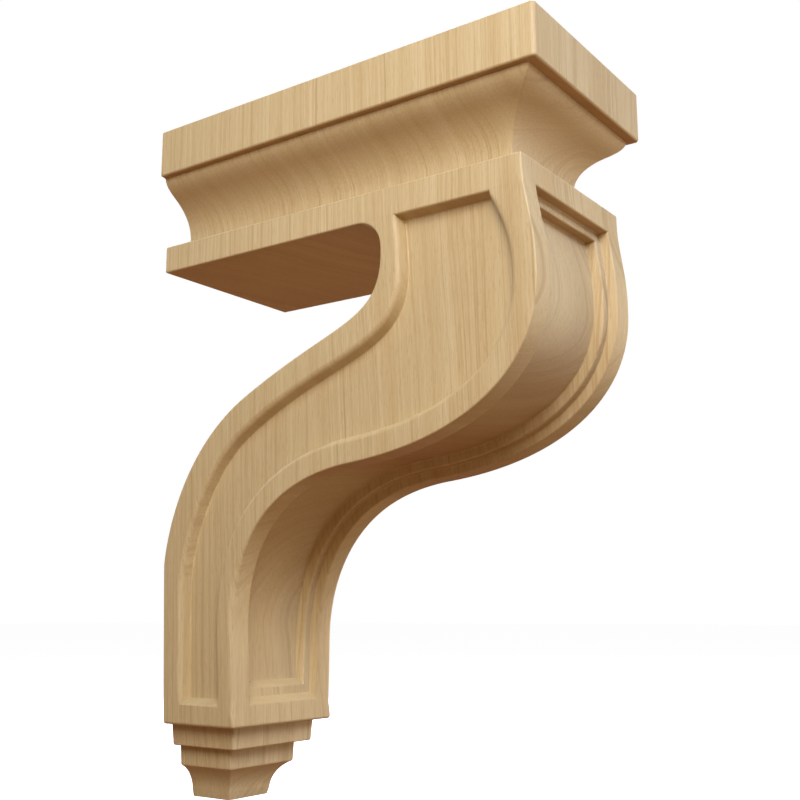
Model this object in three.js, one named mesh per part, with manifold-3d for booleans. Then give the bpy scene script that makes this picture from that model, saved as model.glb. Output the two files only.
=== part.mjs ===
// Carved wooden corbel: a moulded cap on a block, an S-shaped bracket with sunk panels, and a stepped drop.
// Millimetres, +Z up. The back lies in the wall plane y = 0, and the front faces -Y. The halves mirror at x = 0.
// Heights in the driving dimensions are measured from the tip of the drop, and depths from the wall.
// A reach is how far a curve holds its direction on leaving a named point.
import * as THREE from 'three';
import { mergeVertices } from 'three/addons/utils/BufferGeometryUtils.js';
import Module from 'manifold-3d';

const HEIGHT = 560;
const CAP_HALF_WIDTH = 87.5;
const CAP_DEPTH = 367.5;
const CAP_UNDERSIDE = 519;

// The ogee under the cap: insets from the cap's sides, and drops below its underside.
// Its front is set back a little further.
const OGEE_LIP = { inset: 6.2, reach: 6 };
const OGEE_TURN = { inset: 18.5, drop: 14.5, slope: 0.7, reachOut: 5.5, reachIn: 9.2 };
const OGEE_FOOT = { inset: 38.3, drop: 47, reach: 17 };
const OGEE_FRONT_SETBACK = 2.6;

const BLOCK_HALF_WIDTH = 77.5;
const BLOCK_DEPTH = 349.6;
const BLOCK_TOP = 457.5;
const BLOCK_UNDERSIDE = 434.5;

// The S-shaped front, from the top of the block over the belly and down to the leg.
const BLOCK_FRONT_REACH = { back: 0.2, down: 34.5 };
const BELLY = { depth: 357.7, height: 372.7, reachUp: 40.6, reachDown: 64.8 };
const FRONT_TURN = { depth: 196.8, height: 255.4, slope: 0.09, reachForward: 105, reachBack: 111.3 };
const LEG_FRONT = { depth: 76.6, height: 133, reachUp: 34 };
const LEG_HALF_WIDTH = 59.5;
const LEG_DEPTH = 78.6;
const LEG_BOTTOM = 60;

// The back of the S leaves the wall, leans forward, and closes the gap under the block with a round corner.
const BACK_LEAVES_WALL = { height: 184.7, reachUp: 8.5 };
const BACK_TURN = { depth: 92, height: 316.7, slope: 0.51, reachBack: 88.5, reachForward: 109.8 };
const GAP_END = { depth: 229.1, reachDown: 58.3, cornerRadius: 20.8 };

// The drop: a step, a second step, and a tip below a hollow.
const STEP_1 = { topHalf: 49.5, half: 47.4, depth: 67.8, bottom: 42.5 };
const STEP_2 = { topHalf: 39.3, half: 38, depth: 56.4, bottom: 26, edge: { in: 0.8, up: 1 } };
const TIP = { half: 22.8, depth: 41.2, flare: 1.2, height: 6 };
const HOLLOW_REACH = { out: 0.6, up: 7, in: 9, down: 4 };

// Sunk panel on each side of the S. Its back edge follows the leg, turns, and rises beside the gap's end.
const SIDE_RIM = {
  atLeg: 17.3, legTop: 150, atBelly: 19.2, bellyFoot: 330, extraAtTop: 8, widensFrom: 375,
};
const SIDE_PANEL = { top: 434.6, bottom: 76.4, sink: 9.6, draft: 2.7, bottomDraft: 4.5 };
const PANEL_LEG = { depth: 19.6, height: 156, reachUp: 60 };
const PANEL_TURN = { depth: 86.5, height: 287.6, slope: 0.63, reachBack: 36.5, reachForward: 104.6 };
const PANEL_NECK = { depth: 245.2, height: 396, reachDown: 65, reachUp: 14 };
const PANEL_CORNER = { depth: 242.4, reachForward: 2.4, reachDown: 11.5 };

// Two sunk panels on the front, one inside the other, that follow the S.
const FRONT_RIM = 19.3;
const FRONT_PANEL = { top: 438.5, bottom: 77.5, sink: 7.8 };
const FRONT_LEDGE = 7.4;
const FRONT_DRAFT = { side: 1.6, top: 1.2, bottom: 4.5 };

// Straight pieces that stand for each curve.
const FRONT_STEPS = 18;
const BACK_STEPS = { lower: 14, upper: 20, corner: 7 };
const OGEE_STEPS = { hollow: 10, nose: 6 };
const HOLLOW_STEPS = 8;
const PANEL_STEPS = { leg: 12, neck: 18, corner: 3 };

// The two front panels take different counts, so their facets don't lie on one another.
const FIRST_PANEL_STATIONS = 50;
const SECOND_PANEL_STATIONS = 43;

// How far a cutter stands out of the face that it cuts, and how far apart two points still count as one.
const OVERSHOOT = 2;
const SAME_POINT = 2e-4;
const NEARLY_PARALLEL = 0.05;
const SHORTEST_PIECE = 0.5;

// The corbel is fixed by its back, so the frame's origin is the middle of the upper back face.
const MOUNT_HEIGHT = 497;

const wasm = await Module();
wasm.setup();

// Closed three.js geometry to a manifold solid.
function toSolid(geometry) {
  const bare = new THREE.BufferGeometry();
  bare.setAttribute('position', geometry.getAttribute('position').clone());
  if (geometry.index) bare.setIndex(geometry.index.clone());
  const merged = mergeVertices(bare, SAME_POINT);
  const mesh = new wasm.Mesh({
    numProp: 3,
    vertProperties: new Float32Array(merged.getAttribute('position').array),
    triVerts: new Uint32Array(merged.index.array),
  });
  return new wasm.Manifold(mesh);
}

// Manifold solid back to a three.js geometry.
function toGeometry(solid) {
  const mesh = solid.getMesh();
  const geometry = new THREE.BufferGeometry();
  geometry.setAttribute('position', new THREE.BufferAttribute(new Float32Array(mesh.vertProperties), 3));
  geometry.setIndex(new THREE.BufferAttribute(new Uint32Array(mesh.triVerts), 1));
  geometry.computeVertexNormals();
  return geometry;
}

// Half width of the tapering bracket at a height.
function halfWidthAt(height) {
  const share = THREE.MathUtils.clamp((height - LEG_BOTTOM) / (BLOCK_UNDERSIDE - LEG_BOTTOM), 0, 1);
  return THREE.MathUtils.lerp(LEG_HALF_WIDTH, BLOCK_HALF_WIDTH, share);
}

// A step of the given length along a line that rises by slope for each millimetre outwards.
function along(slope, length) {
  return new THREE.Vector2(1, slope).setLength(length);
}

function cubic(from, control1, control2, to) {
  return new THREE.CubicBezierCurve(
    new THREE.Vector2(...from), new THREE.Vector2(...control1),
    new THREE.Vector2(...control2), new THREE.Vector2(...to));
}

// An S through a turn: a curve from the lower point to the turn, then one from the turn to the upper point.
function throughTurn(from, fromControl, turn, toControl, to) {
  const back = along(turn.slope, turn.reachBack);
  const forward = along(turn.slope, turn.reachForward);
  return [
    cubic(from, fromControl, [turn.depth - back.x, turn.height - back.y], [turn.depth, turn.height]),
    cubic([turn.depth, turn.height], [turn.depth + forward.x, turn.height + forward.y], toControl, to),
  ];
}

// The S-shaped front as (depth, height) points, from the foot of the leg up to the top of the block.
function frontLine() {
  const [lower, upper] = throughTurn(
    [LEG_FRONT.depth, LEG_FRONT.height], [LEG_FRONT.depth, LEG_FRONT.height + LEG_FRONT.reachUp],
    FRONT_TURN,
    [BELLY.depth, BELLY.height - BELLY.reachDown], [BELLY.depth, BELLY.height]);
  const brow = cubic(
    [BELLY.depth, BELLY.height], [BELLY.depth, BELLY.height + BELLY.reachUp],
    [BLOCK_DEPTH - BLOCK_FRONT_REACH.back, BLOCK_TOP - BLOCK_FRONT_REACH.down], [BLOCK_DEPTH, BLOCK_TOP]);
  return [
    new THREE.Vector2(LEG_DEPTH, LEG_BOTTOM),
    ...lower.getSpacedPoints(FRONT_STEPS),
    ...upper.getSpacedPoints(FRONT_STEPS).slice(1),
    ...brow.getSpacedPoints(FRONT_STEPS).slice(1),
  ];
}

// The back of the S from the wall up to the underside of the block.
function backLine() {
  const cornerHeight = BLOCK_UNDERSIDE - GAP_END.cornerRadius;
  const [lower, upper] = throughTurn(
    [0, BACK_LEAVES_WALL.height], [0, BACK_LEAVES_WALL.height + BACK_LEAVES_WALL.reachUp],
    BACK_TURN,
    [GAP_END.depth, cornerHeight - GAP_END.reachDown], [GAP_END.depth, cornerHeight]);
  const corner = new THREE.EllipseCurve(
    GAP_END.depth - GAP_END.cornerRadius, cornerHeight,
    GAP_END.cornerRadius, GAP_END.cornerRadius, 0, Math.PI / 2);
  return [
    ...lower.getSpacedPoints(BACK_STEPS.lower),
    ...upper.getSpacedPoints(BACK_STEPS.upper).slice(1),
    ...corner.getPoints(BACK_STEPS.corner).slice(1),
  ];
}

// The ogee under the cap, from the block's top up to the lip, for a face at the given distance out.
function ogeeLine(face) {
  const at = (inset, drop) => [face - inset, CAP_UNDERSIDE - drop];
  const footDrop = CAP_UNDERSIDE - BLOCK_TOP;
  const turnIn = along(OGEE_TURN.slope, OGEE_TURN.reachIn);
  const turnOut = along(OGEE_TURN.slope, OGEE_TURN.reachOut);
  const hollow = cubic(
    at(OGEE_FOOT.inset, OGEE_FOOT.drop), at(OGEE_FOOT.inset, OGEE_FOOT.drop - OGEE_FOOT.reach),
    at(OGEE_TURN.inset + turnIn.x, OGEE_TURN.drop + turnIn.y), at(OGEE_TURN.inset, OGEE_TURN.drop));
  const nose = cubic(
    at(OGEE_TURN.inset, OGEE_TURN.drop), at(OGEE_TURN.inset - turnOut.x, OGEE_TURN.drop - turnOut.y),
    at(OGEE_LIP.inset, OGEE_LIP.reach), at(OGEE_LIP.inset, 0));
  return [
    new THREE.Vector2(...at(OGEE_FOOT.inset, footDrop)),
    ...hollow.getPoints(OGEE_STEPS.hollow),
    ...nose.getPoints(OGEE_STEPS.nose).slice(1),
  ];
}

// The drop's outline from the tip up to the underside of the leg, on the side or the front face.
function dropLine(tip, step2, step2Top, step1, step1Top) {
  const lip = tip + TIP.flare;
  const edge = step2 - STEP_2.edge.in;
  const hollow = cubic(
    [lip, TIP.height], [lip + HOLLOW_REACH.out, TIP.height + HOLLOW_REACH.up],
    [edge - HOLLOW_REACH.in, STEP_2.bottom - HOLLOW_REACH.down], [edge, STEP_2.bottom]);
  return [
    new THREE.Vector2(tip, 0),
    ...hollow.getPoints(HOLLOW_STEPS),
    new THREE.Vector2(step2, STEP_2.bottom + STEP_2.edge.up),
    new THREE.Vector2(step2Top, STEP_1.bottom),
    new THREE.Vector2(step1, STEP_1.bottom),
    new THREE.Vector2(step1Top, LEG_BOTTOM),
  ];
}

// The corbel seen from the front, extruded from the wall to past the cap's front.
function frontElevation() {
  const right = [
    ...dropLine(TIP.half, STEP_2.half, STEP_2.topHalf, STEP_1.half, STEP_1.topHalf),
    new THREE.Vector2(LEG_HALF_WIDTH, LEG_BOTTOM),
    new THREE.Vector2(BLOCK_HALF_WIDTH, BLOCK_UNDERSIDE),
    new THREE.Vector2(BLOCK_HALF_WIDTH, BLOCK_TOP),
    ...ogeeLine(CAP_HALF_WIDTH),
    new THREE.Vector2(CAP_HALF_WIDTH, CAP_UNDERSIDE),
    new THREE.Vector2(CAP_HALF_WIDTH, HEIGHT),
  ];
  const left = right.map((point) => new THREE.Vector2(-point.x, point.y)).reverse();
  const shape = new THREE.Shape([...right, ...left]);
  const geometry = new THREE.ExtrudeGeometry(shape, { depth: CAP_DEPTH + OVERSHOOT, bevelEnabled: false });
  // Shape x stays x, shape y becomes z, and the extrusion runs forward along -Y.
  geometry.rotateX(Math.PI / 2);
  return toSolid(geometry);
}

// The corbel seen from the side, extruded across its whole width.
function sideElevation() {
  const outline = [
    new THREE.Vector2(0, 0),
    ...dropLine(TIP.depth, STEP_2.depth, STEP_2.depth, STEP_1.depth, STEP_1.depth),
    ...frontLine(),
    ...ogeeLine(CAP_DEPTH - OGEE_FRONT_SETBACK),
    new THREE.Vector2(CAP_DEPTH, CAP_UNDERSIDE),
    new THREE.Vector2(CAP_DEPTH, HEIGHT),
    new THREE.Vector2(0, HEIGHT),
    new THREE.Vector2(0, BLOCK_UNDERSIDE),
    ...backLine().reverse(),
  ];
  const width = 2 * (CAP_HALF_WIDTH + OVERSHOOT);
  const geometry = new THREE.ExtrudeGeometry(new THREE.Shape(outline), { depth: width, bevelEnabled: false });
  // Shape x runs forward along -Y, shape y becomes z, and the extrusion runs along -X.
  const place = new THREE.Matrix4().makeBasis(
    new THREE.Vector3(0, -1, 0), new THREE.Vector3(0, 0, 1), new THREE.Vector3(-1, 0, 0));
  geometry.applyMatrix4(place);
  geometry.translate(width / 2, 0, 0);
  return toSolid(geometry);
}

// Closed body through a row of rings with equal numbers of points, capped by the given triangles.
// Seen from the first ring towards the last, each ring runs clockwise.
function loft(rings, capFaces) {
  const count = rings[0].length;
  const positions = rings.flat().flatMap((point) => [point.x, point.y, point.z]);
  const faces = [];
  for (let ring = 0; ring < rings.length - 1; ring += 1) {
    for (let i = 0; i < count; i += 1) {
      const a = ring * count + i;
      const b = ring * count + (i + 1) % count;
      faces.push(a, b, b + count, a, b + count, a + count);
    }
  }
  const last = (rings.length - 1) * count;
  for (const [a, b, c] of capFaces) {
    faces.push(a, c, b);
    faces.push(last + a, last + b, last + c);
  }
  const geometry = new THREE.BufferGeometry();
  geometry.setAttribute('position', new THREE.Float32BufferAttribute(positions, 3));
  geometry.setIndex(faces);
  return toSolid(geometry);
}

// Moves an open line to the left of its direction of travel by a distance that may change along it.
function offsetLine(points, distanceAt) {
  return points.map((point, i) => {
    const before = points[Math.max(i - 1, 0)];
    const after = points[Math.min(i + 1, points.length - 1)];
    const normal = new THREE.Vector2(before.y - after.y, after.x - before.x).normalize();
    return point.clone().addScaledVector(normal, distanceAt(point));
  });
}

// The part of a rising line between two heights, with new points exactly at both ends.
function cutLine(points, bottom, top) {
  const at = (height) => {
    const i = points.findIndex((point) => point.y > height);
    const share = (height - points[i - 1].y) / (points[i].y - points[i - 1].y);
    return points[i - 1].clone().lerp(points[i], share);
  };
  const inside = points.filter(
    (point) => point.y > bottom + SHORTEST_PIECE && point.y < top - SHORTEST_PIECE);
  return [at(bottom), ...inside, at(top)];
}

// Outline of the side panel in (depth, height), anticlockwise as seen with depth to the right.
function sidePanelOutline() {
  const shareOf = (point, bottom, top) => THREE.MathUtils.clamp((point.y - bottom) / (top - bottom), 0, 1);
  const rimAt = (point) => {
    const width = THREE.MathUtils.lerp(
      SIDE_RIM.atLeg, SIDE_RIM.atBelly, shareOf(point, SIDE_RIM.legTop, SIDE_RIM.bellyFoot));
    return width + SIDE_RIM.extraAtTop * shareOf(point, SIDE_RIM.widensFrom, SIDE_PANEL.top) ** 3;
  };
  const front = cutLine(offsetLine(frontLine(), rimAt), SIDE_PANEL.bottom, SIDE_PANEL.top);
  const [leg, neck] = throughTurn(
    [PANEL_LEG.depth, PANEL_LEG.height], [PANEL_LEG.depth, PANEL_LEG.height + PANEL_LEG.reachUp],
    PANEL_TURN,
    [PANEL_NECK.depth, PANEL_NECK.height - PANEL_NECK.reachDown], [PANEL_NECK.depth, PANEL_NECK.height]);
  const corner = cubic(
    [PANEL_NECK.depth, PANEL_NECK.height], [PANEL_NECK.depth, PANEL_NECK.height + PANEL_NECK.reachUp],
    [PANEL_CORNER.depth + PANEL_CORNER.reachForward, SIDE_PANEL.top - PANEL_CORNER.reachDown],
    [PANEL_CORNER.depth, SIDE_PANEL.top]);
  return [
    new THREE.Vector2(PANEL_LEG.depth, SIDE_PANEL.bottom),
    ...front,
    ...corner.getPoints(PANEL_STEPS.corner).reverse(),
    ...neck.getSpacedPoints(PANEL_STEPS.neck).reverse().slice(1),
    ...leg.getSpacedPoints(PANEL_STEPS.leg).reverse().slice(1),
  ];
}

// Pulls a closed anticlockwise outline inwards by a distance that depends on where each side lies.
function insetOutline(points, distanceOf) {
  const count = points.length;
  const sideIn = (from, to) => {
    const direction = to.clone().sub(from).normalize();
    return { normal: new THREE.Vector2(-direction.y, direction.x), reach: distanceOf(from, to) };
  };
  return points.map((point, i) => {
    const a = sideIn(points[(i + count - 1) % count], point);
    const b = sideIn(point, points[(i + 1) % count]);
    const cross = a.normal.x * b.normal.y - a.normal.y * b.normal.x;
    if (Math.abs(cross) < NEARLY_PARALLEL) {
      return point.clone().addScaledVector(a.normal, (a.reach + b.reach) / 2);
    }
    return point.clone().add(new THREE.Vector2(
      (a.reach * b.normal.y - b.reach * a.normal.y) / cross,
      (b.reach * a.normal.x - a.reach * b.normal.x) / cross));
  });
}

// The body cut away for the sunk panel on one side; side is 1 for +X and -1 for -X.
function sidePanelCutter(side) {
  const outline = sidePanelOutline();
  const outwards = OVERSHOOT / SIDE_PANEL.sink;
  const isBottom = (from, to) => Math.max(from.y, to.y) < SIDE_PANEL.bottom + SHORTEST_PIECE;
  const draft = (from, to) => (isBottom(from, to) ? SIDE_PANEL.bottomDraft : SIDE_PANEL.draft);
  const mouth = insetOutline(outline, (from, to) => -outwards * draft(from, to));
  const floor = insetOutline(outline, draft);
  const ring = (points, sink) => points.map((point) => new THREE.Vector3(
    side * (halfWidthAt(point.y) - sink), -point.x, point.y));
  const rings = [ring(mouth, -OVERSHOOT), ring(floor, SIDE_PANEL.sink)];
  const capFaces = THREE.ShapeUtils.triangulateShape(outline, []);
  return loft(side > 0 ? rings : rings.reverse(), capFaces);
}

// The body cut away for one sunk panel on the front, from one sink to the next.
function frontPanelCutter({ fromSink, toSink, inset, bottom, top, stations }) {
  const outwards = OVERSHOOT / (toSink - fromSink);
  const sunk = (sink, draftShare) => new THREE.Path(cutLine(
    offsetLine(frontLine(), () => sink),
    bottom + draftShare * FRONT_DRAFT.bottom,
    top - draftShare * FRONT_DRAFT.top)).getSpacedPoints(stations);
  const halfAt = (point, draftShare) => (
    halfWidthAt(point.y) - FRONT_RIM - inset - draftShare * FRONT_DRAFT.side);
  const mouth = sunk(fromSink - OVERSHOOT, -outwards);
  const floor = sunk(toSink, 1);
  const rings = mouth.map((point, i) => {
    const mouthHalf = halfAt(point, -outwards);
    const floorHalf = halfAt(floor[i], 1);
    return [
      new THREE.Vector3(-mouthHalf, -point.x, point.y),
      new THREE.Vector3(mouthHalf, -point.x, point.y),
      new THREE.Vector3(floorHalf, -floor[i].x, floor[i].y),
      new THREE.Vector3(-floorHalf, -floor[i].x, floor[i].y),
    ];
  });
  return loft(rings, [[0, 1, 2], [0, 2, 3]]);
}

// The whole corbel as one carved piece: two elevations meet in mitred mouldings, then the panels are sunk.
function carvedCorbel() {
  const cutters = [
    sidePanelCutter(1),
    sidePanelCutter(-1),
    frontPanelCutter({
      fromSink: 0,
      toSink: FRONT_PANEL.sink,
      inset: 0,
      bottom: FRONT_PANEL.bottom,
      top: FRONT_PANEL.top,
      stations: FIRST_PANEL_STATIONS,
    }),
    frontPanelCutter({
      fromSink: FRONT_PANEL.sink,
      toSink: 2 * FRONT_PANEL.sink,
      inset: FRONT_DRAFT.side + FRONT_LEDGE,
      bottom: FRONT_PANEL.bottom + FRONT_DRAFT.bottom + FRONT_LEDGE,
      top: FRONT_PANEL.top - FRONT_DRAFT.top - FRONT_LEDGE,
      stations: SECOND_PANEL_STATIONS,
    }),
  ];
  return cutters.reduce(
    (solid, cutter) => solid.subtract(cutter), frontElevation().intersect(sideElevation()));
}

const maple = new THREE.MeshStandardMaterial({ color: 0xd0b088, roughness: 0.55, metalness: 0 });
const corbel = new THREE.Mesh(toGeometry(carvedCorbel()), maple);
corbel.name = 'corbel';
corbel.position.z = -MOUNT_HEIGHT;

const part = new THREE.Group();
part.add(corbel);

export default part;
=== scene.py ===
"""Carved wooden corbel: a fine mesh of the whole carving, sanded maple and soft studio light.

Profile sizes are in millimetres, as (depth from the wall, height above the tip of the drop).
"""
import math

import bmesh
import bpy
import numpy as np
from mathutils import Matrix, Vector, geometry


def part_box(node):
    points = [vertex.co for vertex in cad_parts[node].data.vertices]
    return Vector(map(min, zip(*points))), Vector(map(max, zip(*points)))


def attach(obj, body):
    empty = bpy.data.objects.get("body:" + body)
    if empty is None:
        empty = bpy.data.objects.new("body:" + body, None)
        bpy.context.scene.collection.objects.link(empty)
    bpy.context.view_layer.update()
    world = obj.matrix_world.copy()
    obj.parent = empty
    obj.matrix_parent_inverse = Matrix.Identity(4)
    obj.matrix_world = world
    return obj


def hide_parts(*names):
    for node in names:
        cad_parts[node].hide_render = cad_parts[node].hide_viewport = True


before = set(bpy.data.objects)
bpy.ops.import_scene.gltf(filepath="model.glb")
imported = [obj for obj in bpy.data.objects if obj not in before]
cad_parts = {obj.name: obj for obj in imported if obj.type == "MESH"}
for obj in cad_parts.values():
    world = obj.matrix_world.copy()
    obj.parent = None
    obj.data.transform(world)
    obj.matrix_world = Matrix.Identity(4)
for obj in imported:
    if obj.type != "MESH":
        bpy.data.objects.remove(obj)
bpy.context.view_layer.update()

MM = 0.001
LOW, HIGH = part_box("corbel")
HEIGHT = (HIGH.z - LOW.z) / MM
CAP_HALF_WIDTH = HIGH.x / MM
CAP_DEPTH = -LOW.y / MM
MOUNT_HEIGHT = -LOW.z / MM

# The cap, and the ogee under it as insets from the cap's sides and drops below its underside.
CAP_UNDERSIDE = 519.0
OGEE_LIP = {"inset": 6.2, "reach": 6.0}
OGEE_TURN = {"inset": 18.5, "drop": 14.5, "slope": 0.7, "reach_out": 5.5, "reach_in": 9.2}
OGEE_FOOT = {"inset": 38.3, "drop": 47.0, "reach": 17.0}
OGEE_FRONT_SETBACK = 2.6

BLOCK_HALF_WIDTH = 77.5
BLOCK_DEPTH = 349.6
BLOCK_TOP = 457.5
BLOCK_UNDERSIDE = 434.5

# The S-shaped front. A reach is how far a curve holds its direction on leaving a named point.
BLOCK_FRONT_REACH = {"back": 0.2, "down": 34.5}
BELLY = {"depth": 357.7, "height": 372.7, "reach_up": 40.6, "reach_down": 64.8}
FRONT_TURN = {"depth": 196.8, "height": 255.4, "slope": 0.09, "reach_back": 111.3, "reach_forward": 105.0}
LEG_FRONT = {"depth": 76.6, "height": 133.0, "reach_up": 34.0}
LEG_HALF_WIDTH = 59.5
LEG_DEPTH = 78.6
LEG_BOTTOM = 60.0

# The back of the S, and the round corner that ends the gap under the block.
BACK_LEAVES_WALL = {"height": 184.7, "reach_up": 8.5}
BACK_TURN = {"depth": 92.0, "height": 316.7, "slope": 0.51, "reach_back": 88.5, "reach_forward": 109.8}
GAP_END = {"depth": 229.1, "reach_down": 58.3, "corner_radius": 20.8}

# The drop: a step, a second step, and a tip below a hollow.
STEP_1 = {"top_half": 49.5, "half": 47.4, "depth": 67.8, "bottom": 42.5}
STEP_2 = {"top_half": 39.3, "half": 38.0, "depth": 56.4, "bottom": 26.0}
STEP_2_EDGE = {"in": 0.8, "up": 1.5}
TIP = {"half": 22.8, "depth": 41.2, "flare": 1.2, "height": 6.0}
HOLLOW_REACH = {"out": 0.6, "up": 7.0, "in": 9.0, "down": 4.0}

# Sunk panel on each side. A draft is how far a wall leans in between the panel's mouth and its floor,
# and the ease is the height over which the walls at its two ends turn into the ones along it.
SIDE_RIM = {
    "at_leg": 17.3, "leg_top": 150.0, "at_belly": 19.2, "belly_foot": 330.0,
    "extra_at_top": 8.0, "widens_from": 375.0,
}
SIDE_PANEL = {"top": 434.6, "bottom": 76.4, "sink": 9.6, "draft": 2.7, "bottom_draft": 4.5, "ease": 8.0}
PANEL_LEG = {"depth": 19.6, "height": 156.0, "reach_up": 60.0}
PANEL_TURN = {"depth": 86.5, "height": 287.6, "slope": 0.63, "reach_back": 36.5, "reach_forward": 104.6}
PANEL_NECK = {"depth": 245.2, "height": 396.0, "reach_down": 65.0, "reach_up": 14.0}
PANEL_CORNER = {"depth": 242.4, "reach_forward": 2.4, "reach_down": 11.5}
# How far the line of the panel's back runs on past that corner, to be cut off at the panel's top.
PANEL_BACK_RUNS_ON = (-1.0, 5.0)

# Two sunk panels on the front, one inside the other.
FRONT_RIM = 19.3
FRONT_PANEL = {"top": 438.5, "bottom": 77.5, "sink": 7.8}
FRONT_LEDGE = 7.4
FRONT_DRAFT = {"side": 1.6, "top": 1.2, "bottom": 4.5}

# How far the sanded edges are rounded, and the hollow corners inside the panels.
EDGE = {
    "block": 1.3, "block_back": 2.2, "arm_back": 1.8, "foot": 2.2,
    "front_top": 1.3, "front_leg": 6.0, "panel_rim": 1.6, "panel_corner": 1.0, "side_panel_rim": 4.5,
    "cap": 1.3, "cap_lower": 2.0, "cap_corner": 3.2, "cap_back_corner": 2.0, "mitre": 0.7,
    "step": 1.3, "step_corner": 2.2, "tip": 0.8,
}
# The front's edges are softer on the leg, and blend into those at its foot and at the block's top.
FRONT_EDGE = {"soft_below": 130.0, "crisp_above": 230.0, "foot_blend": 16.0, "top_blend": 12.0}
SMALLEST_RADIUS = 0.15

# How fine the mesh is. Curves start with a dense row of points, and most are then spaced evenly.
DENSE = 400
CURVE_SPACING = 2.4
ARC_STEPS = 5
POINTS = {"gap_corner": 14, "ogee_hollow": 27, "ogee_nose": 11, "tip_hollow": 17, "step_2_edge": 4}
SHARP_FROM = math.radians(34)

# The cap and the drop reach this far into the body, and points this close together are one.
OVERLAP = 3.0
MERGE_WITHIN = 0.004

# A panel's profile starts and ends on a flat, of which only the direction counts.
ANY_RUN = 9.0


def along(slope, length):
    """A step of that length on a line that rises by slope for each millimetre forward."""
    return np.array([1.0, slope]) * length / math.hypot(1.0, slope)


def bezier(start, control_1, control_2, end, count=DENSE):
    """Points on the curve that leaves its start towards one control and reaches its end from the other."""
    t = np.linspace(0, 1, count)[:, None]
    start, control_1, control_2, end = (np.array(p, float) for p in (start, control_1, control_2, end))
    return (
        (1 - t) ** 3 * start + 3 * (1 - t) ** 2 * t * control_1
        + 3 * (1 - t) * t ** 2 * control_2 + t ** 3 * end
    )


def corner_arc(start, corner, end, count=ARC_STEPS + 1):
    """Rounds a corner from start to end; a quarter circle where the corner is square."""
    start, corner, end = (np.array(p, float) for p in (start, corner, end))
    centre = start + end - corner
    angle = np.linspace(0, math.pi / 2, count)[:, None]
    return centre + (start - centre) * np.cos(angle) + (end - centre) * np.sin(angle)


def through_turn(start, start_control, turn, end_control, end):
    """An S: one curve up to the turn and one on from it."""
    at = np.array([turn["depth"], turn["height"]])
    lower = bezier(start, start_control, at - along(turn["slope"], turn["reach_back"]), at)
    upper = bezier(at, at + along(turn["slope"], turn["reach_forward"]), end_control, end)
    return np.vstack([lower, upper[1:]])


def length_of(line):
    return np.linalg.norm(np.diff(line, axis=0), axis=1).sum()


def spaced(line, count):
    """The same line with that many points, evenly spaced."""
    gone = np.r_[0, np.cumsum(np.linalg.norm(np.diff(line, axis=0), axis=1))]
    at = np.linspace(0, gone[-1], count)
    return np.column_stack([np.interp(at, gone, line[:, k]) for k in range(line.shape[1])])


def evenly(line):
    """The same line in steps of about the curve spacing."""
    return spaced(line, max(2, math.ceil(length_of(line) / CURVE_SPACING) + 1))


def sideways(line, reach):
    """Moves an open line to the left of its direction of travel."""
    way = np.gradient(line, axis=0)
    way /= np.linalg.norm(way, axis=1)[:, None]
    normal = np.column_stack([-way[:, 1], way[:, 0]])
    return line + normal * np.reshape(reach, (-1, 1))


def cut(line, bottom, top):
    """The part of a rising line between two heights."""
    def at(height):
        return [np.interp(height, line[:, 1], line[:, 0]), height]
    inside = line[(line[:, 1] > bottom) & (line[:, 1] < top)]
    return np.vstack([at(bottom), inside, at(top)])


def nearest(line, point):
    """Which of a line's points is nearest to that point."""
    return int(np.argmin(np.linalg.norm(line - np.array(point), axis=1)))


def share_between(low, high, value):
    """How far a value has come from low to high, from 0 to 1."""
    return np.clip((value - low) / (high - low), 0, 1)


def smooth(low, high, value):
    """The same, with a gentle start and end."""
    share = share_between(low, high, value)
    return share * share * (3 - 2 * share)


# The bracket's sides taper up to this height, where the block's rounded lower edge ends.
KNEE = BLOCK_UNDERSIDE + EDGE["block"]


def half_width(height):
    """Half the bracket's or block's width at that height."""
    return LEG_HALF_WIDTH + (BLOCK_HALF_WIDTH - LEG_HALF_WIDTH) * share_between(LEG_BOTTOM, KNEE, height)


def front_line():
    """The S-shaped front from the foot of the leg up to the top of the block."""
    s = through_turn(
        [LEG_FRONT["depth"], LEG_FRONT["height"]],
        [LEG_FRONT["depth"], LEG_FRONT["height"] + LEG_FRONT["reach_up"]],
        FRONT_TURN,
        [BELLY["depth"], BELLY["height"] - BELLY["reach_down"]],
        [BELLY["depth"], BELLY["height"]])
    brow = bezier(
        [BELLY["depth"], BELLY["height"]],
        [BELLY["depth"], BELLY["height"] + BELLY["reach_up"]],
        [BLOCK_DEPTH - BLOCK_FRONT_REACH["back"], BLOCK_TOP - BLOCK_FRONT_REACH["down"]],
        [BLOCK_DEPTH, BLOCK_TOP])
    leg = np.array([[LEG_DEPTH, LEG_BOTTOM], [LEG_FRONT["depth"], LEG_FRONT["height"]]])
    return np.vstack([spaced(leg, DENSE), s[1:], brow[1:]])


def back_line():
    """The back of the S from the wall up to the round corner of the gap."""
    corner_height = BLOCK_UNDERSIDE - GAP_END["corner_radius"]
    return through_turn(
        [0, BACK_LEAVES_WALL["height"]],
        [0, BACK_LEAVES_WALL["height"] + BACK_LEAVES_WALL["reach_up"]],
        BACK_TURN,
        [GAP_END["depth"], corner_height - GAP_END["reach_down"]],
        [GAP_END["depth"], corner_height])


def rounded_profile(points, radii):
    """A profile of straight runs with its inner corners rounded, each by that radius."""
    points = [np.array(p, float) for p in points]
    line = []
    for before, corner, after, radius in zip(points, points[1:], points[2:], radii):
        back = (before - corner) / np.linalg.norm(before - corner)
        on = (after - corner) / np.linalg.norm(after - corner)
        turn = math.pi - math.acos(np.clip(back @ on, -1, 1))
        reach = radius * math.tan(turn / 2)
        line.append(corner_arc(corner + back * reach, corner, corner + on * reach))
    return np.vstack(line)


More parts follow.
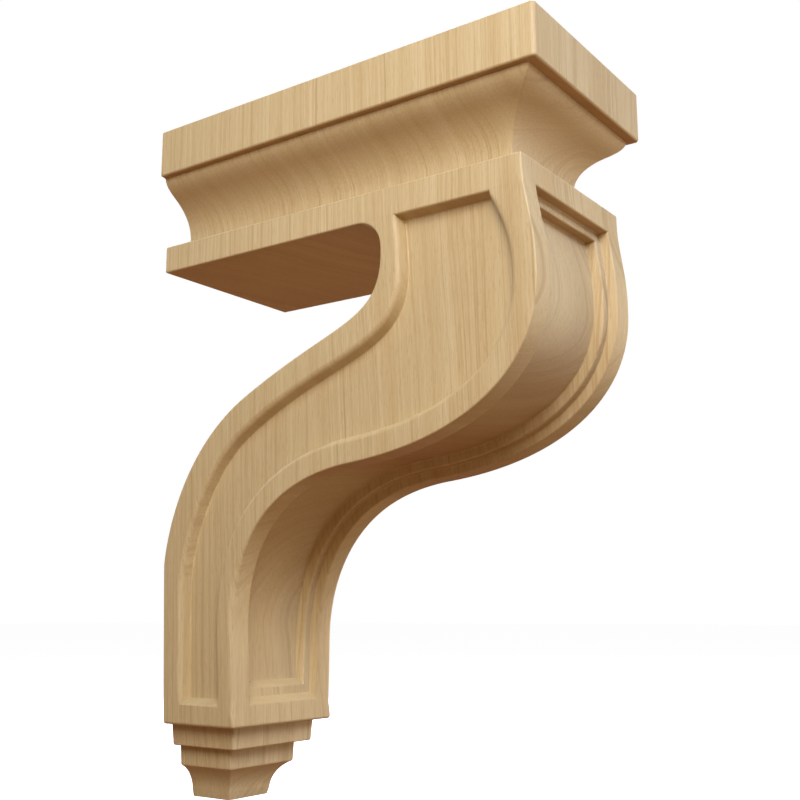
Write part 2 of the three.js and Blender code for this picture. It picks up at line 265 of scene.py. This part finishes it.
class Skin:
    """Points and faces of one closed surface, in millimetres as (x, depth, height)."""

    def __init__(self):
        self.points = []
        self.faces = []

    def add(self, points):
        """Adds points, and returns their numbers."""
        first = len(self.points)
        self.points.extend(tuple(map(float, p)) for p in points)
        return list(range(first, len(self.points)))

    def strip(self, rail_1, rail_2, closed=False):
        """Four-sided faces between two rows of points."""
        count = len(rail_1)
        for i in range(count if closed else count - 1):
            j = (i + 1) % count
            self.faces.append((rail_1[i], rail_1[j], rail_2[j], rail_2[i]))

    def flat(self, outline, hole=None):
        """Fills an outline that is seen along x, around its hole if it has one."""
        rows = [outline] + ([hole] if hole else [])
        seen = [[Vector((self.points[i][1], self.points[i][2], 0)) for i in row] for row in rows]
        corners = [i for row in rows for i in row]
        for triangle in geometry.tessellate_polygon(seen):
            self.faces.append(tuple(corners[k] for k in triangle))

    def mirrored(self):
        """Adds the other half, across x = 0."""
        count = len(self.points)
        self.points.extend([(-x, depth, height) for x, depth, height in self.points])
        self.faces.extend([tuple(i + count for i in reversed(face)) for face in self.faces])

    def to_object(self, name):
        """Makes an object of it, in metres from the mount on the wall."""
        mesh = bpy.data.meshes.new(name)
        placed = [(x * MM, -depth * MM, (height - MOUNT_HEIGHT) * MM) for x, depth, height in self.points]
        mesh.from_pydata(placed, [], self.faces)
        work = bmesh.new()
        work.from_mesh(mesh)
        bmesh.ops.remove_doubles(work, verts=work.verts, dist=MERGE_WITHIN * MM)
        bmesh.ops.recalc_face_normals(work, faces=work.faces)
        work.to_mesh(mesh)
        work.free()
        made = bpy.data.objects.new(name, mesh)
        bpy.context.scene.collection.objects.link(made)
        return made


def front_profiles():
    """How the front's double panel goes in from its mouth, as (inset, sink): sides, bottom and top."""
    sink = FRONT_PANEL["sink"]

    def profile(draft):
        return rounded_profile(
            [(-ANY_RUN, 0), (0, 0), (draft, sink), (draft + FRONT_LEDGE, sink),
             (2 * draft + FRONT_LEDGE, 2 * sink), (2 * draft + FRONT_LEDGE + ANY_RUN, 2 * sink)],
            [EDGE["panel_rim"], EDGE["panel_corner"], EDGE["panel_rim"], EDGE["panel_corner"]])
    return profile(FRONT_DRAFT["side"]), profile(FRONT_DRAFT["bottom"]), profile(FRONT_DRAFT["top"])


def body_outline(mouth_bottom, mouth_top):
    """The bracket and block seen from the side, anticlockwise, and how far each edge is rounded.

    The front has points exactly at the two ends of the front panel's mouth.
    """
    front = front_line()
    foot, block, block_back = EDGE["foot"], EDGE["block"], EDGE["block_back"]
    leg_front = cut(front, LEG_BOTTOM + foot, mouth_bottom)
    mouth = cut(front, mouth_bottom, mouth_top)
    brow = cut(front, mouth_top, BLOCK_TOP - block)
    gap_radius = GAP_END["corner_radius"]
    gap_start = [GAP_END["depth"] - gap_radius, BLOCK_UNDERSIDE]
    gap_corner = corner_arc(
        gap_start, [GAP_END["depth"], BLOCK_UNDERSIDE], [GAP_END["depth"], BLOCK_UNDERSIDE - gap_radius],
        count=POINTS["gap_corner"])

    def front_edge(points):
        height = points[:, 1]
        soft = 1 - smooth(FRONT_EDGE["soft_below"], FRONT_EDGE["crisp_above"], height)
        radius = EDGE["front_top"] + (EDGE["front_leg"] - EDGE["front_top"]) * soft
        near_foot = 1 - smooth(LEG_BOTTOM + foot, LEG_BOTTOM + FRONT_EDGE["foot_blend"], height)
        near_top = smooth(BLOCK_TOP - FRONT_EDGE["top_blend"], BLOCK_TOP - block, height)
        return radius + (foot - radius) * near_foot + (block - radius) * near_top

    def level(value):
        return lambda points: np.full(len(points), value)

    def easing(start, end):
        return lambda points: np.linspace(start, end, len(points))

    sections = [
        (corner_arc([LEG_DEPTH - foot, LEG_BOTTOM], [LEG_DEPTH, LEG_BOTTOM], leg_front[0]), level(foot)),
        (evenly(leg_front), front_edge),
        (evenly(mouth), front_edge),
        (evenly(brow), front_edge),
        (corner_arc(brow[-1], [BLOCK_DEPTH, BLOCK_TOP], [BLOCK_DEPTH - block, BLOCK_TOP]), level(block)),
        (corner_arc([block_back, BLOCK_TOP], [0, BLOCK_TOP], [0, BLOCK_TOP - block_back]),
         easing(block, block_back)),
        (corner_arc(
            [0, BLOCK_UNDERSIDE + block_back], [0, BLOCK_UNDERSIDE], [block_back, BLOCK_UNDERSIDE]),
         easing(block_back, block)),
        (gap_corner, level(block)),
        (evenly(back_line())[::-1], easing(block, EDGE["arm_back"])),
        (corner_arc([0, LEG_BOTTOM + foot], [0, LEG_BOTTOM], [foot, LEG_BOTTOM]), level(foot)),
    ]
    points, edges = [], []
    for section, edge_of in sections:
        start = 1 if points and np.allclose(points[-1], section[0]) else 0
        points.extend(section[start:])
        edges.extend(edge_of(section)[start:])
    return np.array(points), np.array(edges)


def inward(loop):
    """Unit normals into a closed anticlockwise outline."""
    ways = np.roll(loop, -1, axis=0) - loop
    ways /= np.linalg.norm(ways, axis=1)[:, None]
    way = ways + np.roll(ways, 1, axis=0)
    way /= np.linalg.norm(way, axis=1)[:, None]
    return np.column_stack([-way[:, 1], way[:, 0]])


def side_profiles():
    """How the side panel goes in from its mouth, as (inset, sink): front and back, bottom, top."""
    sink = SIDE_PANEL["sink"]

    def profile(draft, rim):
        return rounded_profile(
            [(-ANY_RUN, 0), (0, 0), (draft, sink), (draft + ANY_RUN, sink)], [rim, EDGE["panel_corner"]])
    return (
        profile(SIDE_PANEL["draft"], EDGE["side_panel_rim"]),
        profile(SIDE_PANEL["bottom_draft"], EDGE["panel_rim"]),
        profile(SIDE_PANEL["draft"], EDGE["panel_rim"]))


def side_panel_lines():
    """The side panel's mouth: its front and its back, each a rising line that runs past both its ends."""
    front = front_line()
    to_belly = share_between(SIDE_RIM["leg_top"], SIDE_RIM["belly_foot"], front[:, 1])
    to_top = share_between(SIDE_RIM["widens_from"], SIDE_PANEL["top"], front[:, 1])
    rim = SIDE_RIM["at_leg"] + (SIDE_RIM["at_belly"] - SIDE_RIM["at_leg"]) * to_belly
    rim += SIDE_RIM["extra_at_top"] * to_top ** 3
    corner = np.array([PANEL_CORNER["depth"], SIDE_PANEL["top"]])
    back = np.vstack([
        [[PANEL_LEG["depth"], LEG_BOTTOM]],
        through_turn(
            [PANEL_LEG["depth"], PANEL_LEG["height"]],
            [PANEL_LEG["depth"], PANEL_LEG["height"] + PANEL_LEG["reach_up"]],
            PANEL_TURN,
            [PANEL_NECK["depth"], PANEL_NECK["height"] - PANEL_NECK["reach_down"]],
            [PANEL_NECK["depth"], PANEL_NECK["height"]]),
        bezier(
            [PANEL_NECK["depth"], PANEL_NECK["height"]],
            [PANEL_NECK["depth"], PANEL_NECK["height"] + PANEL_NECK["reach_up"]],
            corner + [PANEL_CORNER["reach_forward"], -PANEL_CORNER["reach_down"]],
            corner)[1:],
        [corner + PANEL_BACK_RUNS_ON],
    ])
    return sideways(front, rim), spaced(back, 2 * DENSE)


def side_panel_rings():
    """The side panel's rings from its mouth to its floor, as (x, depth, height).

    Each goes up the front and down the back, whose profile eases into those of the bottom and the top.
    """
    bottom, top, ease = SIDE_PANEL["bottom"], SIDE_PANEL["top"], SIDE_PANEL["ease"]
    lines = side_panel_lines()
    counts = [round(length_of(cut(line, bottom, top)) / CURVE_SPACING) for line in lines]

    def eased(values, height):
        along_it, at_bottom, at_top = values
        low = 1 - smooth(bottom, bottom + ease, height)
        high = smooth(top - ease, top, height)
        return along_it + (at_bottom - along_it) * low + (at_top - along_it) * high

    rings = []
    for level in zip(*side_profiles()):
        insets, sinks = zip(*level)
        ring_bottom, ring_top = bottom + insets[1], top - insets[2]
        rails = []
        for line, inwards, count in zip(lines, (1, -1), counts):
            drawn_in = sideways(line, inwards * eased(insets, line[:, 1]))
            rails.append(spaced(cut(drawn_in, ring_bottom, ring_top), count))
        ring = np.vstack([rails[0], rails[1][::-1]])
        rings.append(np.column_stack([half_width(ring[:, 1]) - eased(sinks, ring[:, 1]), ring]))
    return rings


def round_edge(skin, rail, loop, edge):
    """Rounds the outline's edge, from a rail on the faces that run across to a new one on the side."""
    into = inward(loop)
    for angle in np.linspace(0, math.pi / 2, ARC_STEPS + 1)[1:]:
        drawn_in = loop + into * (edge * (1 - math.cos(angle)))[:, None]
        x = half_width(drawn_in[:, 1]) - edge + edge * math.sin(angle)
        new_rail = skin.add(np.column_stack([x, drawn_in]))
        skin.strip(rail, new_rail, closed=True)
        rail = new_rail
    return rail


def sink_side_panel(skin):
    """Adds the sunk panel on the side, and returns the ring of its mouth."""
    rings = [skin.add(ring) for ring in side_panel_rings()]
    for ring, next_ring in zip(rings, rings[1:]):
        skin.strip(ring, next_ring, closed=True)
    skin.flat(rings[-1])
    return rings[0]


def sink_front_panel(skin, profiles, count):
    """Adds half of the double panel on the front.

    Each ring runs from the middle of its bottom edge round to the middle of its top.
    """
    front = front_line()
    rings = []
    for (side_inset, sink), (bottom_inset, _), (top_inset, _) in zip(*profiles):
        bottom, top = FRONT_PANEL["bottom"] + bottom_inset, FRONT_PANEL["top"] - top_inset
        line = spaced(cut(sideways(front, sink), bottom, top), count)
        x = half_width(line[:, 1]) - FRONT_RIM - side_inset
        ring = np.vstack([[0, *line[0]], np.column_stack([x, line]), [0, *line[-1]]])
        rings.append(skin.add(ring))
    for ring, next_ring in zip(rings, rings[1:]):
        skin.strip(ring, next_ring)
    floor = rings[-1][1:-1]
    middle = skin.add(np.array([skin.points[i] for i in floor]) * [0, 1, 1])
    skin.strip(floor, middle)


def carve_body():
    """The bracket and block with their sunk panels, as one closed mesh."""
    profiles = front_profiles()
    side_inset, bottom_inset, top_inset = (profile[0][0] for profile in profiles)
    mouth_bottom, mouth_top = FRONT_PANEL["bottom"] + bottom_inset, FRONT_PANEL["top"] - top_inset
    loop, edge = body_outline(mouth_bottom, mouth_top)
    mouth = cut(front_line(), mouth_bottom, mouth_top)
    first, last = nearest(loop, mouth[0]), nearest(loop, mouth[-1])
    skin = Skin()

    # Front, top, back and underside run straight across, with columns of points at the edge, at the
    # side of the front panel's mouth and in the middle. Along that mouth they stop at its side.
    half = half_width(loop[:, 1])
    columns = [
        skin.add(np.column_stack([x, loop]))
        for x in (half - edge, half - FRONT_RIM - side_inset, np.zeros(len(loop)))]
    skin.strip(columns[0], columns[1], closed=True)
    beside_mouth = list(range(last, len(loop))) + list(range(first + 1))
    skin.strip([columns[1][i] for i in beside_mouth], [columns[2][i] for i in beside_mouth])
    rail = round_edge(skin, columns[0], loop, edge)
    side_mouth = sink_side_panel(skin)

    # The flat of the side is one face above the knee, and one below it around the panel.
    knee_front = next(i for i in range(first, last + 1) if skin.points[rail[i]][2] >= KNEE)
    knee_back = nearest(loop, [GAP_END["depth"] - GAP_END["corner_radius"], BLOCK_UNDERSIDE])
    skin.flat(rail[knee_front:knee_back + 1])
    skin.flat(rail[knee_back:] + rail[:knee_front + 1], hole=side_mouth)

    sink_front_panel(skin, profiles, last - first + 1)
    skin.mirrored()
    return skin.to_object("carved_corbel")


def plan_ring(half, depth, height, front_radius, back_radius, back):
    """One level of a moulding, as (x, depth, height): a rectangle with rounded corners.

    The last value is how far it stands off the wall.
    """
    front_radius, back_radius = max(front_radius, SMALLEST_RADIUS), max(back_radius, SMALLEST_RADIUS)
    right = np.vstack([
        corner_arc([half - back_radius, back], [half, back], [half, back + back_radius]),
        corner_arc([half, depth - front_radius], [half, depth], [half - front_radius, depth]),
    ])
    left = right[::-1] * [-1, 1]
    ring = np.vstack([right, left])
    return np.column_stack([ring, np.full(len(ring), height)])


def stack(name, levels):
    """A closed moulding through a list of levels, from the lowest to the highest."""
    skin = Skin()
    rings = [skin.add(plan_ring(*level)) for level in levels]
    for ring, next_ring in zip(rings, rings[1:]):
        skin.strip(ring, next_ring, closed=True)
    skin.faces.append(tuple(rings[0]))
    skin.faces.append(tuple(rings[-1]))
    return skin.to_object(name)


def carve_cap():
    """The cap slab over its ogee, mitred round the sides and the front."""
    turn_in = along(OGEE_TURN["slope"], OGEE_TURN["reach_in"])
    turn_out = along(OGEE_TURN["slope"], OGEE_TURN["reach_out"])
    turn = np.array([OGEE_TURN["inset"], OGEE_TURN["drop"]])
    hollow = bezier(
        [OGEE_FOOT["inset"], OGEE_FOOT["drop"]],
        [OGEE_FOOT["inset"], OGEE_FOOT["drop"] - OGEE_FOOT["reach"]], turn + turn_in, turn,
        count=POINTS["ogee_hollow"])
    nose = bezier(
        turn, turn - turn_out, [OGEE_LIP["inset"], OGEE_LIP["reach"]], [OGEE_LIP["inset"], 0],
        count=POINTS["ogee_nose"])
    foot_drop = CAP_UNDERSIDE - BLOCK_TOP + OVERLAP
    ogee = np.vstack([[OGEE_FOOT["inset"], foot_drop], hollow, nose[1:]])
    lower, upper = EDGE["cap_lower"], EDGE["cap"]
    thickness = HEIGHT - CAP_UNDERSIDE
    slab = np.vstack([
        corner_arc([lower, 0], [0, 0], [0, -lower]),
        corner_arc([0, upper - thickness], [0, -thickness], [upper, -thickness]),
    ])
    levels = []
    for inset, drop in ogee:
        # The lowest level is hidden inside the block.
        back = OVERLAP if drop == foot_drop else 0.0
        levels.append((
            CAP_HALF_WIDTH - inset, CAP_DEPTH - OGEE_FRONT_SETBACK - inset, CAP_UNDERSIDE - drop,
            EDGE["mitre"], EDGE["mitre"], back))
    for inset, drop in slab:
        levels.append((
            CAP_HALF_WIDTH - inset, CAP_DEPTH - inset, CAP_UNDERSIDE - drop,
            EDGE["cap_corner"] - inset, EDGE["cap_back_corner"] - inset, inset))
    return stack("cap", levels)


def drop_line(tip, step_2, step_2_top, step_1, step_1_top):
    """The drop's outline from the tip up, on its side or its front, with rounded lower edges.

    The third value of each point is how far the back stands off the wall there, because the rounded
    edges run along the back too.
    """
    def edged(arc, face):
        return np.column_stack([arc, face - arc[:, 0]])

    def flush(line):
        return np.column_stack([line, np.zeros(len(line))])

    edge, tip_edge = EDGE["step"], EDGE["tip"]
    tip_arc = corner_arc([tip - tip_edge, 0], [tip, 0], [tip, tip_edge])
    lip, rim = tip + TIP["flare"], step_2 - STEP_2_EDGE["in"]
    bottom = STEP_2["bottom"]
    hollow = bezier(
        [lip, TIP["height"]], [lip + HOLLOW_REACH["out"], TIP["height"] + HOLLOW_REACH["up"]],
        [rim - HOLLOW_REACH["in"], bottom - HOLLOW_REACH["down"]], [rim, bottom],
        count=POINTS["tip_hollow"])
    step_2_arc = corner_arc(
        hollow[-1], [step_2, bottom], [step_2, bottom + STEP_2_EDGE["up"]], count=POINTS["step_2_edge"])
    bottom = STEP_1["bottom"]
    step_1_arc = corner_arc([step_1 - edge, bottom], [step_1, bottom], [step_1, bottom + edge])
    return np.vstack([
        edged(tip_arc, tip),
        flush(hollow),
        flush(step_2_arc[1:]),
        [step_2_top, bottom, 0],
        edged(step_1_arc, step_1),
        [step_1_top, LEG_BOTTOM, 0],
        [step_1_top, LEG_BOTTOM + OVERLAP, OVERLAP],
    ])


def carve_drop():
    """The two steps and the hollow tip under the leg."""
    side = drop_line(TIP["half"], STEP_2["half"], STEP_2["top_half"], STEP_1["half"], STEP_1["top_half"])
    front = drop_line(TIP["depth"], STEP_2["depth"], STEP_2["depth"], STEP_1["depth"], STEP_1["depth"])
    corner_ease = 1.0
    levels = []
    for (half, height, back), (depth, _, _) in zip(side, front):
        # The tip's front corners are mitred, and the steps' are rounded.
        in_step = smooth(STEP_2["bottom"] - corner_ease, STEP_2["bottom"] + corner_ease, height)
        corner = EDGE["mitre"] + (EDGE["step_corner"] - EDGE["mitre"]) * in_step
        levels.append((half, depth, height, corner, EDGE["step"], back))
    return stack("drop", levels)


def join(main, *others):
    """Makes one closed solid of the pieces."""
    for other in others:
        union = main.modifiers.new(other.name, "BOOLEAN")
        union.operation = "UNION"
        union.solver = "EXACT"
        union.object = other
    graph = bpy.context.evaluated_depsgraph_get()
    joined = bpy.data.meshes.new_from_object(main.evaluated_get(graph))
    main.modifiers.clear()
    main.data = joined
    for other in others:
        bpy.data.objects.remove(other)
    return main


corbel = join(carve_body(), carve_cap(), carve_drop())
corbel.data.shade_smooth()
corbel.data.set_sharp_from_angle(angle=SHARP_FROM)
flats = corbel.modifiers.new("flat faces stay flat", "WEIGHTED_NORMAL")
flats.keep_sharp = True
flats.weight = 80
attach(corbel, "root")
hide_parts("corbel")


def linear(hex_colour):
    """An sRGB hex colour as the linear values that shaders take."""
    parts = [int(hex_colour[i:i + 2], 16) / 255 for i in (1, 3, 5)]
    return (*(c / 12.92 if c <= 0.04045 else ((c + 0.055) / 1.055) ** 2.4 for c in parts), 1.0)


def add(tree, kind, inputs=None, **settings):
    """Adds a node with its settings.

    Each input is a value, another node's output, or a node, which stands for its first output.
    """
    made = tree.nodes.new(kind)
    for name, value in settings.items():
        setattr(made, name, value)
    for key, value in (inputs or {}).items():
        if isinstance(value, bpy.types.Node):
            value = value.outputs[0]
        if isinstance(value, bpy.types.NodeSocket):
            tree.links.new(value, made.inputs[key])
        else:
            made.inputs[key].default_value = value
    return made


def new_material(name):
    """A material with an empty node tree."""
    made = bpy.data.materials.new(name)
    made.use_nodes = True
    made.node_tree.nodes.clear()
    return made, made.node_tree


def sanded_maple():
    """Hard maple, glued up, carved and sanded, with no finish on it.

    The fibres run up and down and the growth rings lie one behind the other from the wall outwards, so
    the sides show fine upright lines, and faint figure shows where the carving cuts across them. Faces
    that cut the fibres off are end grain, darker and redder, and the sanded nap looks pale at a glancing
    angle. Maple's fibres and pores are too fine to show, so they are drawn a few times coarser.
    """
    material, tree = new_material("sanded_maple")
    coordinates = add(tree, "ShaderNodeTexCoord").outputs
    in_mm = add(
        tree, "ShaderNodeVectorMath", {0: coordinates["Object"], "Scale": 1 / MM}, operation="SCALE")

    def patches(across_mm, along_mm, detail=2.0, roughness=0.5):
        """Irregular patches of that size across and along the fibres."""
        per_mm = (1 / across_mm, 1 / across_mm, 1 / along_mm)
        scaled = add(tree, "ShaderNodeVectorMath", {0: in_mm, 1: per_mm}, operation="MULTIPLY")
        return add(
            tree, "ShaderNodeTexNoise",
            {"Vector": scaled, "Scale": 1.0, "Detail": detail, "Roughness": roughness})

    # The growth rings lie a little askew, wander over the length of the piece and ripple.
    askew = 0.3
    wander_mm = 24.0
    ripple_mm = 2.6
    split = add(tree, "ShaderNodeSeparateXYZ", {0: in_mm}).outputs
    ring = add(
        tree, "ShaderNodeMath", {0: split["X"], 1: askew, 2: split["Y"]}, operation="MULTIPLY_ADD")
    for pattern, swing in ((patches(90, 420, detail=1.5), wander_mm), (patches(14, 80), ripple_mm)):
        shift = add(
            tree, "ShaderNodeMath", {0: pattern, 1: swing, 2: -swing / 2}, operation="MULTIPLY_ADD")
        ring = add(tree, "ShaderNodeMath", {0: ring, 1: shift}, operation="ADD")

    # Bands of rings, single rings and the places of dark lines, each by its width in millimetres.
    bands, rings, line_places = (
        add(
            tree, "ShaderNodeTexNoise",
            {"W": ring, "Scale": 1 / width_mm, "Detail": detail, "Roughness": roughness},
            noise_dimensions="1D")
        for width_mm, detail, roughness in ((16.0, 3.0, 0.55), (3.4, 4.0, 0.62), (7.5, 2.0, 0.5)))
    line_strength = patches(30, 120)
    fibres = patches(1.3, 48, detail=3.0, roughness=0.6)
    pores = patches(0.55, 11)
    clouds = patches(60, 150)

    # End grain is a face that looks almost straight up or down. As a face slopes across the fibres its
    # rings fade, and on end grain they come back in part.
    end_grain_from = 11 / 12
    steepness = 1 / (1 - end_grain_from)
    fading = 0.9
    coming_back = 0.6
    ring_contrast = 0.75
    facing_up = add(tree, "ShaderNodeSeparateXYZ", {0: coordinates["Normal"]}).outputs["Z"]
    across = add(tree, "ShaderNodeMath", {0: facing_up}, operation="ABSOLUTE")
    end_grain = add(
        tree, "ShaderNodeMath", {0: across, 1: steepness, 2: 1 - steepness},
        operation="MULTIPLY_ADD", use_clamp=True)
    upright = add(
        tree, "ShaderNodeMath", {0: across, 1: -fading, 2: 1.0}, operation="MULTIPLY_ADD", use_clamp=True)
    ring_share = add(
        tree, "ShaderNodeMath", {0: end_grain, 1: coming_back, 2: upright}, operation="MULTIPLY_ADD")
    ring_weight = add(tree, "ShaderNodeMath", {0: ring_share, 1: ring_contrast}, operation="MULTIPLY")

    # Each pattern makes the wood lighter or darker than its middle tone, by its own weight.
    tone = 0.5
    for pattern, weight in ((bands, 0.9), (rings, ring_weight), (fibres, 1.0), (clouds, 0.35)):
        off_middle = add(tree, "ShaderNodeMath", {0: pattern, 1: 0.5}, operation="SUBTRACT")
        tone = add(tree, "ShaderNodeMath", {0: off_middle, 1: weight, 2: tone}, operation="MULTIPLY_ADD")
    wood = add(tree, "ShaderNodeValToRGB", {0: tone})
    colours = wood.color_ramp.elements
    colours[0].position = 0.15
    colours[0].color = linear("#c3ab7f")
    colours[1].position = 0.85
    colours[1].color = linear("#d3c199")
    colours.new(0.5).color = linear("#cbb78d")

    # A dark line lies wherever its pattern comes near its middle value.
    line_reach = 0.022
    off_line = add(tree, "ShaderNodeMath", {0: line_places, 1: 0.5}, operation="SUBTRACT")
    off_line = add(tree, "ShaderNodeMath", {0: off_line}, operation="ABSOLUTE")
    off_line = add(tree, "ShaderNodeMath", {0: off_line, 1: line_reach}, operation="DIVIDE")
    lines = add(tree, "ShaderNodeMath", {0: 1.0, 1: off_line}, operation="SUBTRACT", use_clamp=True)
    lines = add(tree, "ShaderNodeMath", {0: lines, 1: line_strength}, operation="MULTIPLY")
    dark_lines = add(tree, "ShaderNodeMath", {0: lines, 1: ring_weight}, operation="MULTIPLY")
    lined = add(
        tree, "ShaderNodeMix", {"Factor": dark_lines, "A": wood, "B": linear("#a6875b")},
        data_type="RGBA")

    # The pores are the lowest parts of their pattern, as short dark flecks.
    pore_limit = 0.42
    pore_contrast = 3.2
    below_limit = add(tree, "ShaderNodeMath", {0: pore_limit, 1: pores}, operation="SUBTRACT")
    flecks = add(
        tree, "ShaderNodeMath", {0: below_limit, 1: pore_contrast}, operation="MULTIPLY", use_clamp=True)
    pored = add(
        tree, "ShaderNodeMix",
        {"Factor": flecks, "A": lined.outputs["Result"], "B": linear("#a38257")},
        data_type="RGBA")
    ended = add(
        tree, "ShaderNodeMix",
        {"Factor": end_grain, "A": pored.outputs["Result"], "B": linear("#e6cfb8")},
        data_type="RGBA", blend_type="MULTIPLY")

    # The sanded surface's fine relief comes from the fibres and the pores.
    relief_mm = 0.12
    pore_relief = add(tree, "ShaderNodeMath", {0: pores, 1: 0.4}, operation="MULTIPLY")
    relief = add(tree, "ShaderNodeMath", {0: fibres, 1: 0.6, 2: pore_relief}, operation="MULTIPLY_ADD")
    bump = add(
        tree, "ShaderNodeBump", {"Height": relief, "Strength": 0.25, "Distance": relief_mm * MM})
    roughness = add(tree, "ShaderNodeMath", {0: rings, 1: 0.10, 2: 0.46}, operation="MULTIPLY_ADD")
    shader = add(tree, "ShaderNodeBsdfPrincipled", {
        "Base Color": ended.outputs["Result"], "Roughness": roughness, "IOR": 1.48, "Normal": bump,
        "Sheen Weight": 0.08, "Sheen Roughness": 0.3, "Sheen Tint": linear("#e9e0ff")})
    add(tree, "ShaderNodeOutputMaterial", {"Surface": shader})
    return material


corbel.data.materials.clear()
corbel.data.materials.append(sanded_maple())


def studio_floor():
    """A plain pale floor, well below the corbel, which hangs clear of it as on a wall."""
    gap_below = 0.12
    reach = 40.0
    level = LOW.z - gap_below
    corners = [(x * reach, y * reach, level) for x, y in ((-1, -1), (1, -1), (1, 1), (-1, 1))]
    mesh = bpy.data.meshes.new("floor")
    mesh.from_pydata(corners, [], [(0, 1, 2, 3)])
    floor = bpy.data.objects.new("floor", mesh)
    bpy.context.scene.collection.objects.link(floor)
    # Lit paper, overexposed almost to white as in a catalogue picture.
    material, tree = new_material("matt_white_paper")
    shader = add(tree, "ShaderNodeBsdfPrincipled", {
        "Base Color": linear("#f4f3f1"), "Roughness": 1.0, "Specular IOR Level": 0.0,
        "Emission Color": linear("#ffffff"), "Emission Strength": 0.97})
    add(tree, "ShaderNodeOutputMaterial", {"Surface": shader})
    mesh.materials.append(material)
    floor.visible_diffuse = False
    floor.visible_glossy = False
    floor.visible_shadow = False


def softbox(name, round_to_left, up, watts, colour, size=1.6, away=2.8):
    """A square softbox, aimed at about the corbel's middle.

    Its angles are in degrees, round from straight in front and up from level, and the rest in metres.
    """
    aim = Vector((0.0, -0.18, -0.2))
    turn = math.radians(round_to_left)
    rise = math.radians(up)
    towards = Vector((
        -math.sin(turn) * math.cos(rise), -math.cos(turn) * math.cos(rise), math.sin(rise)))
    light = bpy.data.lights.new(name, "AREA")
    light.shape = "SQUARE"
    light.size = size
    light.energy = watts
    light.color = linear(colour)[:3]
    made = bpy.data.objects.new(name, light)
    made.location = aim + towards * away
    made.rotation_euler = (-towards).to_track_quat("-Z", "Y").to_euler()
    bpy.context.scene.collection.objects.link(made)


def studio_world():
    """White for the camera; as light, warm from below and nearly dark from above."""
    world = bpy.data.worlds.new("studio")
    bpy.context.scene.world = world
    world.use_nodes = True
    tree = world.node_tree
    tree.nodes.clear()
    direction = add(tree, "ShaderNodeTexCoord").outputs["Generated"]
    up = add(tree, "ShaderNodeSeparateXYZ", {0: direction}).outputs["Z"]
    # The two blend in a band at the horizon.
    steepness = 6.0
    from_above = add(
        tree, "ShaderNodeMath", {0: up, 1: steepness, 2: 0.5}, operation="MULTIPLY_ADD", use_clamp=True)
    colour = add(
        tree, "ShaderNodeMix",
        {"Factor": from_above, "A": linear("#ffc395"), "B": linear("#383a40")},
        data_type="RGBA")
    light = add(tree, "ShaderNodeBackground", {"Color": colour.outputs["Result"], "Strength": 0.30})
    seen = add(tree, "ShaderNodeBackground", {"Color": linear("#ffffff"), "Strength": 1.0})
    by_camera = add(tree, "ShaderNodeLightPath").outputs["Is Camera Ray"]
    both = add(tree, "ShaderNodeMixShader", {0: by_camera, 1: light, 2: seen})
    add(tree, "ShaderNodeOutputWorld", {"Surface": both})


studio_floor()
studio_world()
softbox("key", 50, 36, 41, "#e8f1ff")
softbox("near_warm", 60, 26, 8.2, "#ffdd9f", size=0.8, away=1.3)
softbox("near_cool", 75, 30, 2.9, "#cee4ff", size=0.6, away=0.9)
softbox("front", -5, 40, 40, "#bfd4ff")
softbox("right", -38, 5, 11, "#fff6ec")
softbox("right_low", -80, 5, 42, "#ffe4ae")
softbox("edge_light", -125, 15, 56, "#d2caff", size=1.2)
softbox("back", 180, 20, 30, "#fff4e4")

# The camera stands low in front of the corbel's left side and looks up a little.
camera = bpy.data.objects.new("camera", bpy.data.cameras.new("camera"))
camera.data.sensor_width = 36.0
camera.data.lens = 49.61
camera.location = (-0.7009, -0.6915, -0.3526)
looks_along = Vector((0.7996, 0.5686, 0.1933))
camera.rotation_mode = "QUATERNION"
camera.rotation_quaternion = looks_along.to_track_quat("-Z", "Y")
bpy.context.scene.collection.objects.link(camera)
bpy.context.scene.camera = camera
bpy.context.scene.view_settings.view_transform = "Standard"
